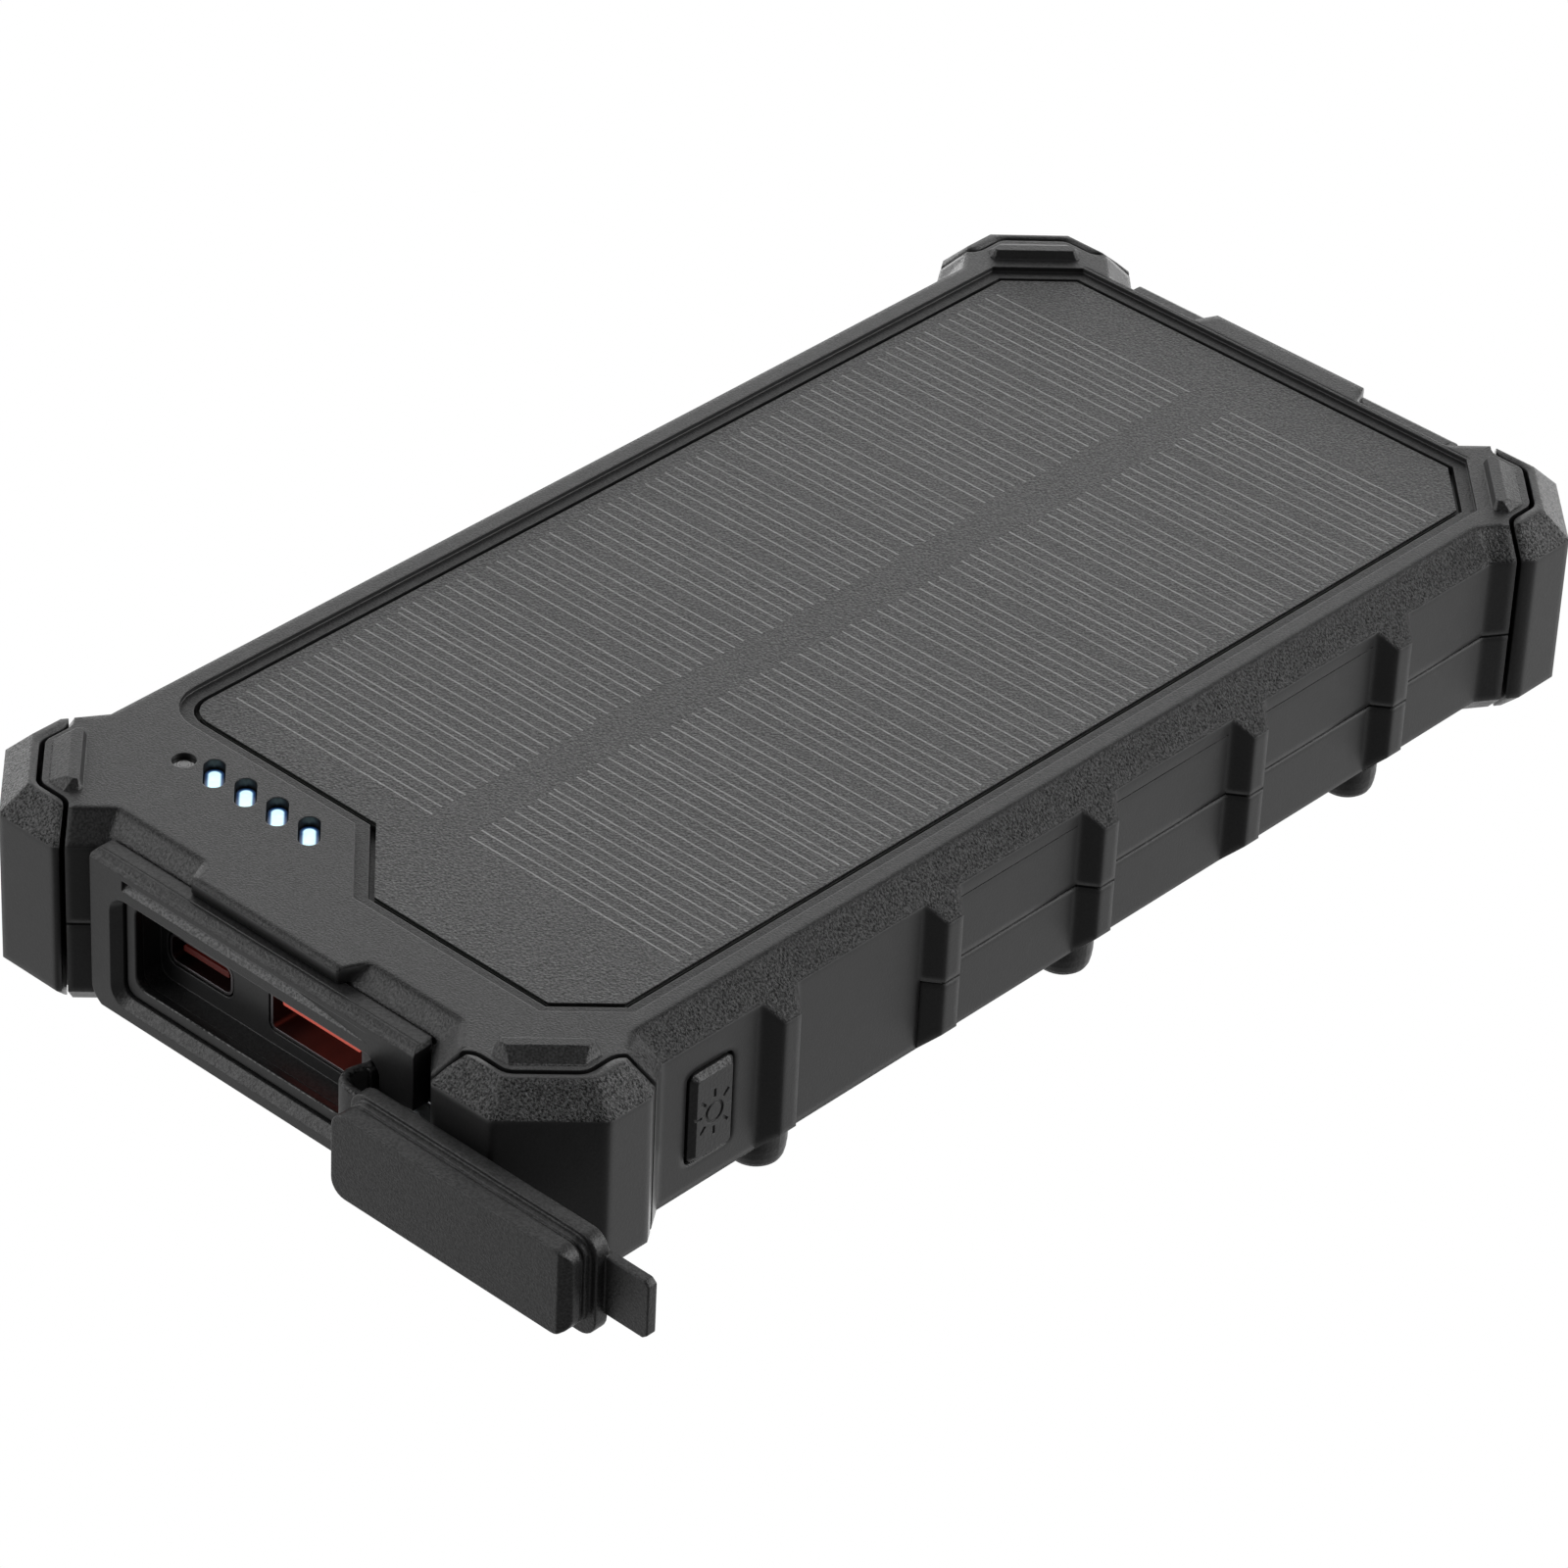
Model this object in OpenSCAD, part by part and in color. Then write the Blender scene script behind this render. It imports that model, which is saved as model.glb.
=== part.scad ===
// Rugged pocket power bank with a solar panel, four corner bumpers and a hinged rubber port cover.
// Origin: middle of the underside of the housing. +Z up, +X the button side, -Y the port end.
// The port cover is drawn hanging fully open.

/* [Body] */
// Width across the flat side walls
body_w = 80; // [79.6:0.1:80.4]
// Length over the flat end walls
body_l = 156.8; // [156.6:0.1:157]
// Height of the top face above the foot plane
body_h = 25; // [25:0.1:25.4]
// Height of the underside above the foot plane
foot_gap = 1.4; // [1.2:0.1:1.6]
// Width of the 45 degree bevel along the top and bottom edges
bevel = 2.9; // [2.7:0.1:3]
// Height of the parting line between the two shells
split_z = 12.7; // [12.5:0.1:12.9]
// Visible gap at the parting line
split_gap = 0.14; // [0.1:0.02:0.2]

/* [Side ribs] */
// Number of ribs on each long side
rib_n = 5; // [3:2:5]
// Distance between ribs
rib_pitch = 23.7; // [23:0.1:24]
// Width of a rib's outer face
rib_w = 2.3; // [2:0.1:3]
// How far a rib stands out of the wall
rib_h = 2; // [1.4:0.1:2.2]

/* [Corner bumpers] */
// Gap between a bumper and the housing
seam = 0.6; // [0.45:0.05:0.65]
// Height of the raised bars beside the bumpers
bar_h = 1; // [0.6:0.1:1.1]

/* [Solar panel] */
// Depth of the panel recess
recess_d = 1.8; // [1.7:0.1:1.9]
// Clearance between the recess edge and the panel
panel_inset = 2.1; // [1.8:0.1:2.4]

/* [Status lights] */
// Number of slanted light slots
slot_n = 4; // [3:1:4]
// Distance between slots
slot_pitch = 4.6; // [4.4:0.1:4.8]
// Length of a slot
slot_l = 5; // [4:0.1:5.2]
// Width of a slot
slot_w = 2.3; // [1.8:0.1:2.4]

/* [Port end] */
// Outer width of the port bezel
bezel_w = 46; // [45.6:0.1:46.4]
// Height of the front plane of the bezel from the middle
bezel_y = 80.6; // [80.4:0.1:80.8]
// Hinge axis of the port cover across the end
hinge_x = 17.1; // [17:0.05:17.2]
// Hinge axis of the port cover ahead of the middle
hinge_y = 82.3; // [82.2:0.05:82.4]

/* [Light button] */
// Button width along the side
btn_w = 6.1; // [5.8:0.1:6.2]
// Button height
btn_h = 10.6; // [10:0.1:10.8]
// How far the button stands out of the wall
btn_out = 0.7; // [0.4:0.1:0.9]

/* [Hidden] */
$fn = 48;
hw = body_w/2;
hl = body_l/2;
zt = body_h;
zb = foot_gap;
foot_x = 36.8;
foot_ys = [-2*rib_pitch + 1.1, 0, 2*rib_pitch - 1.1];
panel_cy = 0;
t225 = 0.41421356;
btn_y = -56.9;
btn_z = 13.1;
torch_x = 22.8;
torch_z = 12.3;
slot_x0 = -22.2;
slot_y = -64.4;

// ---------- helpers ----------
// Sub-parts are drawn with z = 0 on the plane of the feet; this puts the origin on the underside
module place() translate([0, 0, -foot_gap]) children();
module box(a, b) translate(a) cube(b - a);
module prism(pts, z0, z1) translate([0, 0, z0]) linear_extrude(z1 - z0) polygon(pts);
function arc(cx, cy, r, a0, a1, n = 6) = [for (i = [0:n]) let (a = a0 + (a1 - a0)*i/n) [cx + r*cos(a), cy + r*sin(a)]];
function rrect(x0, y0, x1, y1, r, n = 6) = concat(arc(x1 - r, y1 - r, r, 0, 90, n), arc(x0 + r, y1 - r, r, 90, 180, n),
  arc(x0 + r, y0 + r, r, 180, 270, n), arc(x1 - r, y0 + r, r, 270, 360, n));
// Slab seen end-on along its length: flat sides at +-half with 45 degree bevels of width b
module slab(half, b) rotate([90, 0, 0]) linear_extrude(260, center = true)
  polygon([[-half + b, zb], [half - b, zb], [half, zb + b], [half, zt - b], [half - b, zt], [-half + b, zt], [-half, zt - b], [-half, zb + b]]);
// Bevelled half space: everything below distance d along the direction turned by ang
module side_cut(ang, d, b) rotate([0, 0, ang]) rotate([90, 0, 0]) linear_extrude(260, center = true)
  polygon([[-150, zb], [d - b, zb], [d, zb + b], [d, zt - b], [d - b, zt], [-150, zt]]);
// Front-facing shape: a profile in X and Z, extruded from depth y0 to depth y1 behind the front (y is negative)
module facing(pts, y0, y1) translate([0, -y0, 0]) rotate([90, 0, 0]) linear_extrude(y1 - y0) polygon(pts);
module quad(sx, sy) mirror([sx < 0 ? 1 : 0, 0, 0]) mirror([0, sy < 0 ? 1 : 0, 0]) children();
module ycyl(x, y, z, r, l, f = 48) translate([x, y, z]) rotate([-90, 0, 0]) cylinder(r = r, h = l, $fn = f);
module xcyl(x, y, z, r, l, f = 48) translate([x, y, z]) rotate([0, 90, 0]) cylinder(r = r, h = l, $fn = f);

// ---------- plan shapes ----------
// Edge of the panel recess, inset by o
function recess(o) = concat([[2.7 + t225*o, -69.1 + o], [28.5 - t225*o, -69.1 + o], [35 - o, -62.6 + t225*o],
  [35 - o, 67.6 - t225*o], [27.7 - t225*o, 74.9 - o], [-27.7 + t225*o, 74.9 - o], [-35 + o, 67.6 - t225*o]],
  arc(-30, -55.2, 5 - o, 180, 270, 6), [[-6.2 + t225*o, -60.2 + o]]);
// The flares beside each bumper: direction and distance of the one on the long side, and y - x of the one on the end
fa = -34;
fd = -2.571;
fy = 55.2;
// Corner b between a and c, rounded with radius r
function unit(v) = v/norm(v);
function fillet(a, b, c, r, n = 4) = let (u = unit(a - b), v = unit(c - b), h = acos(u*v)/2, p = b + u*r/tan(h), q = b + v*r/tan(h), m = b + unit(u + v)*r/sin(h))
  [for (i = [0:n]) m + unit((p - m)*(1 - i/n) + (q - m)*i/n)*r];
// Line where housing and bumper part, moved outward by g
function seam_pts(g) = [[38.2 + g + 33, 68.4 + 0.588*g - 18.38], [38.2 + g, 68.4 + 0.588*g], [38.2 + g, 72.7 + t225*g],
  [33 + t225*g, 77.9 + g], [28.7 + 0.473*g, 77.9 + g], [28.7 + 0.473*g - 11.48, 77.9 + g + 14]];
function seam_path(g) = let (p = seam_pts(g)) concat([p[0]], fillet(p[0], p[1], p[2], 2.4 - g), fillet(p[1], p[2], p[3], 1.6 + g),
  fillet(p[2], p[3], p[4], 1.6 + g), fillet(p[3], p[4], p[5], 2.4 - g), [p[5]]);
function rib_pts(y) = [[hw - 1, y - rib_w/2 - 1.9], [hw, y - rib_w/2 - 1.4], [hw + rib_h, y - rib_w/2], [hw + rib_h, y + rib_w/2], [hw, y + rib_w/2 + 1.4], [hw - 1, y + rib_w/2 + 1.9]];
module cavity_plan(o) polygon([[37.6 - o, -61.5 + t225*o], [37.6 - o, 61.5 - t225*o], [27.5 - t225*o, 74 - o], [24 - t225*o, 76.2 - o],
  [-24 + t225*o, 76.2 - o], [-27.5 + t225*o, 74 - o], [-37.6 + o, 61.5 - t225*o], [-37.6 + o, -61.5 + t225*o],
  [-27.5 + t225*o, -74 + o], [-24 + t225*o, -76.2 + o], [24 - t225*o, -76.2 + o], [27.5 - t225*o, -74 + o]]);

// ---------- housing ----------
module outer_body() {
  intersection() {
    slab(hw + rib_h, bevel + rib_h);
    rotate([0, 0, 90]) slab(hl, bevel);
    union() {
      prism([[hw, -65.6], [hw, 65.6], [37.9, 67.7], [28, 77.4], [26, hl + 0.0], [-26, hl], [-28, 77.4], [-37.9, 67.7], [-hw, 65.6],
        [-hw, -65.6], [-37.9, -67.7], [-28, -77.4], [-26, -hl], [26, -hl], [28, -77.4], [37.9, -67.7]], zb, zt);
      for (i = [0:rib_n - 1]) {
        prism(rib_pts((i - (rib_n - 1)/2)*rib_pitch), zb, zt);
        mirror([1, 0, 0]) prism(rib_pts((i - (rib_n - 1)/2)*rib_pitch), zb, zt);
      }
    }
  }
  for (sx = [-1, 1], sy = [-1, 1]) quad(sx, sy) intersection() {
    prism([[20, 60], [60, 60], [60, 88], [20, 88]], zb, zt);
    prism(concat([[0, 0], [71, 0]], seam_path(0), [[0, 91]]), -1, 40);
    side_cut(fa, fd, bevel);
    side_cut(135, fy/sqrt(2), bevel);
  }
}
// Region that belongs to the upper shell; its skirt runs down beside the light button
module upper_region(g) {
  box([-60, -100, split_z + g], [60, 100, 60]);
  box([37.65 - g, -66.5 - g, zb + bevel + 0.05 + g], [60, -2*rib_pitch/2 - rib_w/2 - 1.5 + g, 60]);
}
module lower_region() difference() {
  box([-60, -100, -5], [60, 100, split_z - split_gap/2]);
  box([37.65 - split_gap, -66.5 - split_gap, zb + bevel], [60, -rib_pitch - rib_w/2 - 1.5 + split_gap, 60]);
}
module front_window(c) facing(rrect(-19.5 - c, 6.9 - c, 16.6 + c, 21.2 + c, 1.5), 70, 90);
module light_slot(i, c, z0, z1) translate([slot_x0 + i*slot_pitch, slot_y, z0]) rotate([0, 0, -45]) linear_extrude(z1 - z0)
  polygon(rrect(-slot_l/2 - c, -slot_w/2 - c, slot_l/2 + c, slot_w/2 + c, slot_w/2 + c - 0.02, 8));
module tongue(sy) mirror([0, sy < 0 ? 1 : 0, 0])
  intersection() {
    prism([[-11.8, hl - 4], [11.8, hl - 4], [11.8, hl - bevel], [10.4, hl + 0.1], [-10.4, hl + 0.1], [-11.8, hl - bevel]], zt - 1.7, zt);
    rotate([90, 0, 90]) linear_extrude(60, center = true) polygon([[60, zt - 1.7], [hl + 0.1, zt - 1.7], [hl + 0.1, zt - 0.35], [hl - 0.25, zt], [60, zt]]);
  }
module bars() for (sx = [-1, 1], sy = [-1, 1]) quad(sx, sy) rotate([0, 0, 45]) hull() {
  prism([[77.75, 24.4], [77.75, 31.6], [76.1, 33.3], [74.6, 33.1], [74.25, 32.6], [74.25, 23.4], [74.6, 22.9], [76.1, 22.7]], zt - 0.2, zt);
  prism([[75.75, 24], [75.75, 32], [75.3, 32.5], [74.8, 32.5], [74.6, 32.2], [74.6, 23.8], [74.8, 23.5], [75.3, 23.5]], zt + bar_h - 0.1, zt + bar_h);
}

module upper_housing() color([0.16, 0.16, 0.165]) difference() {
  union() {
    difference() {
      intersection() { outer_body(); upper_region(split_gap/2); }
      translate([0, 0, 2]) linear_extrude(19.7) cavity_plan(0);
    }
    for (s = [-1, 1], y = foot_ys) translate([s*foot_x, y, split_z + split_gap/2]) cylinder(r = 3, h = 9.1, $fn = 36);
    bars();
    tongue(1);
    tongue(-1);
  }
  prism(recess(0), zt - 0.6, zt + 1);
  prism(recess(1.5), zt - recess_d, zt + 1);
  for (i = [0:slot_n - 1]) light_slot(i, 0, 20, 30);
  translate([-26, -65, 15]) cylinder(r = 1.3, h = 15);
  for (x = [19.3, 21.1]) translate([x, -64.5, 15]) cylinder(r = 0.8, h = 15, $fn = 24);
  for (s = [-1, 1], y = foot_ys) translate([s*foot_x, y, 5]) cylinder(r = 1.25, h = 14.5, $fn = 24);
  front_window(0);
  // notch behind the top edge of both bezels
  for (s = [-1, 1]) mirror([0, s < 0 ? 0 : 1, 0]) difference() {
    box([-23.2, -82, 21], [23.2, -77.5, zt - 1.6]);
    box([-30, -78.4, 0], [30, -74, 22.1]);
  }
  for (s = [-1, 1], y = foot_ys) translate([s*foot_x, y, 1]) cylinder(r = 2.4, h = 5.6, $fn = 36);
  // button opening
  translate([36, btn_y, btn_z]) rotate([90, 0, 90]) linear_extrude(8) polygon(rrect(-btn_w/2 - 0.35, -btn_h/2 - 0.35, btn_w/2 + 0.35, btn_h/2 + 0.35, 1));
  ycyl(torch_x, -95, torch_z, 3.6, 25);
  // fine line along the top of the side walls
  for (s = [-1, 1]) mirror([s < 0 ? 1 : 0, 0, 0]) for (i = [1:rib_n - 2])
    box([hw - 0.15, (i - (rib_n - 1)/2)*rib_pitch + 3, 20.35], [hw + 0.1, (i + 1 - (rib_n - 1)/2)*rib_pitch - 3, 20.5]);
  // rear bezel seat
  facing(rrect(-19.5, 6.9, 19.5, 19, 2.4), -90, -76.9);
}

module lower_housing() color([0.16, 0.16, 0.165]) difference() {
  union() {
    difference() {
      intersection() { outer_body(); lower_region(); }
      translate([0, 0, 3.4]) linear_extrude(30) cavity_plan(0);
    }
    intersection() {
      union() {
        for (s = [-1, 1], y = foot_ys) translate([s*foot_x, y, 4.4]) cylinder(r = 3.1, h = 20, $fn = 36);
        for (s = [-1, 1], y = foot_ys) intersection() {
          translate([s*foot_x, y, 3.2]) cylinder(r = 4.25, h = 2.2, $fn = 36);
          box([-38, -90, 0], [38, 90, 20]);
        }
        for (x = [-24, 24]) translate([x, -71, 3]) cylinder(r = 1.8, h = 5.5, $fn = 24);
        for (x = [-30, 30]) translate([x, -54, 3]) cylinder(r = 1.8, h = 5.5, $fn = 24);
      }
      lower_region();
    }
  }
  for (s = [-1, 1], y = foot_ys) translate([s*foot_x, y, -1]) {
    cylinder(r = 3.4, h = 5.15, $fn = 36);
    cylinder(r = 2.4, h = 7.6, $fn = 36);
    cylinder(r = 1.4, h = 30, $fn = 24);
  }
  for (x = [-24, 24]) translate([x, -71, 4.4]) cylinder(r = 0.95, h = 6, $fn = 24);
  for (x = [-30, 30]) translate([x, -54, 4.4]) cylinder(r = 0.95, h = 6, $fn = 24);
  front_window(0);
  ycyl(torch_x, -95, torch_z, 3.6, 25);
  facing(rrect(-19.5, 6.9, 19.5, 19, 2.4), -90, -76.9);
}

module bumper(sx, sy) color([0.14, 0.14, 0.145]) quad(sx, sy) difference() {
    intersection() {
      prism([[23, 79], [23, 90], [60, 90], [60, 65], [41, 65], [34, 73]], zb, zt);
      side_cut(fa, fd, bevel);
      side_cut(0, 42.9, bevel + 0.03);
      side_cut(45, 116.9/sqrt(2), bevel);
      side_cut(90, 82, bevel + 0.03);
      side_cut(135, fy/sqrt(2), bevel);
    }
    prism(concat([[0, 0], [71, 0]], seam_path(seam), [[0, 91]]), -1, 40);
  }

module rubber_feet() color([0.12, 0.12, 0.12]) for (s = [-1, 1], y = foot_ys) translate([s*foot_x, y, 0]) rotate_extrude($fn = 48)
  polygon([[0, 0], [1.9, 0], [2.35, 0.14], [2.7, 0.42], [2.93, 0.85], [3.08, 1.5], [3.18, 2.4], [3.22, 4.05], [2.3, 4.05], [2.3, 4.7], [0, 4.7]]);

module housing_screws() color([0.7, 0.7, 0.72]) for (s = [-1, 1], y = foot_ys) translate([s*foot_x, y, 0]) {
  difference() {
    translate([0, 0, 4.9]) cylinder(r = 2.2, h = 1.68, $fn = 36);
    translate([0, 0, 4.5]) cylinder(r = 0.9, h = 1.4, $fn = 6);
  }
  translate([0, 0, 6.5]) cylinder(r = 1.2, h = 12, $fn = 36);
}

// ---------- ends ----------
// Side profile of a bezel: it rests on the housing bevel and stands out of the end wall
module bezel_profile(yf) rotate([90, 0, 90]) linear_extrude(80, center = true)
  polygon([[-77.75, 23.22], [-(yf - 0.9), 23.2], [-(yf - 0.25), 22.8], [-yf, 22.35], [-yf, 4.75], [-(yf - 0.3), 4.45], [-hl - 0.1, 4.45], [-hl - 0.1, 22.2]]);

module port_bezel() color([0.15, 0.15, 0.155]) difference() {
  union() {
    intersection() {
      bezel_profile(bezel_y);
      facing(concat(arc(bezel_w/2 - 2.6, 7.05, 2.6, 270, 360, 6), [[bezel_w/2, 22.7], [bezel_w/2 - 0.5, 23.4], [-bezel_w/2 + 0.5, 23.4], [-bezel_w/2, 22.7]],
        arc(-bezel_w/2 + 2.6, 7.05, 2.6, 180, 270, 6)), 70, 90);
    }
    facing(rrect(-19.4, 7, 16.5, 21.1, 2.3), 74.6, hl + 0.2);
  }
  // stepped mouth, then the pocket
  facing(rrect(-19.2, 6.9, 17.4, 19.2, 1.5), 78.2, 79.8);
  hull() {
    facing(rrect(-19.2, 6.9, 17.4, 19.2, 1.5), 79.7, 79.71);
    facing(rrect(-20.2, 5.9, 18.4, 19.3, 2.2), bezel_y, bezel_y + 0.1);
  }
  facing(rrect(-17.9, 8.2, 15, 18.8, 1.6), 75.8, 79);
  // finger groove above the mouth, running out towards the hinge end, and a fine line along the top
  intersection() {
    prism([[-18.3, -bezel_y - 1], [-18.3, -bezel_y + 0.5], [-17.8, -bezel_y + 0.9], [0, -bezel_y + 0.9], [17.2, -bezel_y - 0.03], [17.2, -bezel_y - 1]], 19, 23);
    rotate([90, 0, 90]) linear_extrude(60, center = true) polygon([[-bezel_y - 0.3, 20.2], [-bezel_y + 0.8, 21.3], [-bezel_y + 0.8, 21.75], [-bezel_y - 0.3, 21.75]]);
  }
  box([-23, -79.42, 23.08], [23, -79.28, 24]);
  facing(rrect(-16.9, 10.3, -7.3, 14.3, 1.25), 70, 77);
  facing(rrect(-2.2, 9.75, 11.4, 16.05, 0.9), 70, 77);
  ycyl(torch_x, -95, torch_z, 3.6, 16.7);
}

module port_ring() color([0.1, 0.1, 0.1]) difference() {
  facing(rrect(-19.1, 7.0, 16.2, 19.1, 1.45), 78.25, 79.4);
  facing(rrect(-17.7, 8.4, 14.8, 18.6, 1.4), 70, 90);
}

module rear_bezel() color([0.15, 0.15, 0.155]) mirror([0, 1, 0]) difference() {
  union() {
    intersection() {
      bezel_profile(79.8);
      facing(concat(arc(bezel_w/2 - 2.6, 7.05, 2.6, 270, 360, 6), [[bezel_w/2, 22.7], [bezel_w/2 - 0.5, 23.4], [-bezel_w/2 + 0.5, 23.4], [-bezel_w/2, 22.7]],
        arc(-bezel_w/2 + 2.6, 7.05, 2.6, 180, 270, 6)), 70, 90);
    }
    facing(rrect(-19.4, 7, 19.4, 18.9, 2.3), 76.95, hl + 0.2);
  }
  for (i = [0:2]) facing(rrect(-18.5, 7.6 + i*4.4, 18.5, 9.4 + i*4.4, 0.85), 79.2, 90);
}

// Port cover in the closed position, seen from the middle outward: plug, flange and pull tab
module cover_closed() {
  difference() {
    facing(rrect(-17.2, 8.5, 14.5, 18.5, 1.9), 76.2, 79.5);
    // chamfer on the far inner edge, so that the plug swings out
    prism([[-18, -75], [-18, -77.3], [-17.3, -77.3], [-16, -76.1], [-15, -75]], 0, 30);
    // sealing groove around the root of the plug
    difference() {
      facing(rrect(-18, 8, 15.3, 19, 1.9), 78.3, 78.7);
      facing(rrect(-16.9, 8.8, 14.2, 18.2, 1.7), 78, 79.4);
    }
  }
  facing(rrect(-18.0, 7.1, 15.2, 19.0, 2.1), 79.5, 81.2);
  facing([[-16.6, 9.8], [-16.6, 16.6], [-23, 16.6], [-23.6, 16.1], [-23.6, 10.3], [-23, 9.8]], 80.7, 81.9);
}
module port_cover() color([0.17, 0.17, 0.17]) translate([hinge_x, -hinge_y, 0]) rotate([0, 0, 180]) translate([-hinge_x, hinge_y, 0]) cover_closed();

module cover_strap_anchor() color([0.17, 0.17, 0.17]) {
  facing(rrect(15.75, 9.1, 17.3, 17.7, 0.4), 79.45, 80.7);
  facing(rrect(16.3, 9.1, 17.3, 17.7, 0.3), 78.45, 79.6);
}

// ---------- light button ----------
module light_button() color([0.2, 0.2, 0.2]) difference() {
  translate([36.4, btn_y, btn_z]) rotate([90, 0, 90]) {
    linear_extrude(0.6) polygon(rrect(-btn_w/2 - 1, -btn_h/2 - 1, btn_w/2 + 1, btn_h/2 + 1, 1));
    hull() {
      linear_extrude(hw + btn_out - 37) polygon(rrect(-btn_w/2, -btn_h/2, btn_w/2, btn_h/2, 0.8));
      linear_extrude(hw + btn_out - 36.4) polygon(rrect(-btn_w/2 + 0.6, -btn_h/2 + 0.6, btn_w/2 - 0.6, btn_h/2 - 0.6, 0.4));
    }
  }
  // lamp symbol: a ring and eight rays
  translate([hw + btn_out - 0.18, btn_y, btn_z]) rotate([90, 0, 90]) {
    linear_extrude(1) difference() { circle(r = 1.3); circle(r = 0.95); }
    for (a = [0:45:315]) rotate([0, 0, a]) box([1.75, -0.17, 0], [2.75, 0.17, 1]);
  }
}
module button_seal() color([0.1, 0.1, 0.1]) translate([37.03, btn_y, btn_z]) rotate([90, 0, 90]) linear_extrude(0.54) difference() {
  polygon(rrect(-btn_w/2 - 1, -btn_h/2 - 1, btn_w/2 + 1, btn_h/2 + 1, 1));
  polygon(rrect(-btn_w/2 - 0.1, -btn_h/2 - 0.1, btn_w/2 + 0.1, btn_h/2 + 0.1, 0.8));
}
module tact_switch() color([0.1, 0.1, 0.1]) difference() {
  box([32, btn_y - 3, 9.85], [34.8, btn_y + 3, 16]);
  xcyl(33.6, btn_y, btn_z, 1.55, 5);
}
module switch_plunger() color([0.6, 0.15, 0.1]) xcyl(34.2, btn_y, btn_z, 1.5, 2.15);

// ---------- torch ----------
module torch_lens() color([0.85, 0.87, 0.88]) translate([torch_x, -78.3, torch_z]) rotate([90, 0, 0]) rotate_extrude($fn = 64)
  polygon(concat([[0, 0], [3.3, 0], [3.3, 0.5]], [for (i = [0:8]) let (a = i*11.25) [3.25*cos(a), 0.5 + 0.9*sin(a)]]));
module torch_reflector() color([0.8, 0.8, 0.82]) translate([torch_x, -77.9, torch_z]) rotate([-90, 0, 0]) rotate_extrude($fn = 48)
  polygon([[3.3, 0], [3.3, 0.6], [1.6, 3.6], [1.1, 3.6], [1.1, 3.2], [2.7, 0.4], [2.7, 0]]);
module torch_diode() color([0.95, 0.9, 0.6]) {
  box([torch_x - 2, -73.9, torch_z - 2], [torch_x + 2, -73.2, torch_z + 2]);
  translate([torch_x, -73.9, torch_z]) rotate([90, 0, 0]) cylinder(r = 0.9, h = 0.7, $fn = 32);
}

// ---------- panel ----------
ps = zt - recess_d;
module panel_adhesive() color([0.9, 0.9, 0.9]) difference() {
  prism(recess(panel_inset + 0.3), ps, ps + 0.2);
  box([-28.8, -52, 15], [28.8, 66, 40]);
  for (x = [19.3, 21.1]) translate([x, -64.5, 15]) cylinder(r = 0.8, h = 15, $fn = 24);
}
module solar_backing() color([0.1, 0.12, 0.1]) prism(recess(panel_inset), ps + 0.22, ps + 0.8);
// Each column of cells is cut into strips; the wide middle strip stays plain
module solar_cells() color([0.08, 0.09, 0.13]) intersection() {
  prism(recess(panel_inset + 1.2), ps + 0.82, ps + 0.98);
  for (s = [-1, 1], i = [0:9]) box([s < 0 ? -31.6 : 1.2, -65.6 + i*13.8, 0], [s < 0 ? -1.2 : 31.6, -65.6 + i*13.8 + 13.4, 40]);
}
module solar_cover_sheet() color([0.3, 0.3, 0.31]) prism(recess(panel_inset), ps + 1.0, ps + 1.24);
module panel_leads() color([0.7, 0.1, 0.1]) for (x = [19.3, 21.1]) translate([x, -64.5, 9.85]) cylinder(r = 0.6, h = ps + 0.2 - 9.85, $fn = 20);

// ---------- status lights ----------
module light_guide() color([0.7, 0.95, 1]) {
  for (i = [0:slot_n - 1]) light_slot(i, -0.08, 21.3, zt - 1.1);
  box([slot_x0 - 2.6, slot_y - 2.6, 21.0], [slot_x0 + (slot_n - 1)*slot_pitch + 2.6, slot_y + 2.6, 21.66]);
}
module status_window() color([0.05, 0.05, 0.06]) translate([-26, -65, 21.2]) cylinder(r = 1.24, h = zt - 0.5 - 21.2);
module indicator_board() color([0.1, 0.3, 0.15]) box([-28, -67.4, 19.2], [-4, -61.4, 20.2]);
module indicator_diodes() color([0.95, 0.95, 0.9]) {
  for (i = [0:slot_n - 1]) translate([slot_x0 + i*slot_pitch, slot_y, 20.55]) cube([1.6, 0.9, 0.66], center = true);
  translate([-26, -65, 20.55]) cube([1.6, 0.9, 0.66], center = true);
}

// ---------- electronics ----------
module main_board() color([0.08, 0.28, 0.14]) difference() {
  prism([[-25.5, -74.3], [25.5, -74.3], [33.8, -64], [33.8, -51], [-33.8, -51], [-33.8, -64]], 8.6, 9.8);
  for (x = [-24, 24]) translate([x, -71, 0]) cylinder(r = 1.1, h = 20, $fn = 24);
  for (x = [-30, 30]) translate([x, -54, 0]) cylinder(r = 1.1, h = 20, $fn = 24);
}
module board_screws() color([0.75, 0.75, 0.77]) for (p = [[-24, -71], [24, -71], [-30, -54], [30, -54]]) translate([p[0], p[1], 0]) {
  translate([0, 0, 4.8]) cylinder(r = 0.9, h = 5.2, $fn = 24);
  difference() {
    translate([0, 0, 9.85]) cylinder(r = 1.8, h = 1.1, $fn = 24);
    translate([0, 0, 10.4]) cylinder(r = 0.7, h = 1, $fn = 6);
  }
}
module usb_a_shell() color([0.5, 0.5, 0.53]) difference() {
  facing(rrect(-2.05, 9.86, 11.25, 15.9, 0.8), 61.5, 75.7);
  facing(rrect(-1.7, 10.2, 10.9, 15.55, 0.5), 62.2, 80);
}
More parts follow.
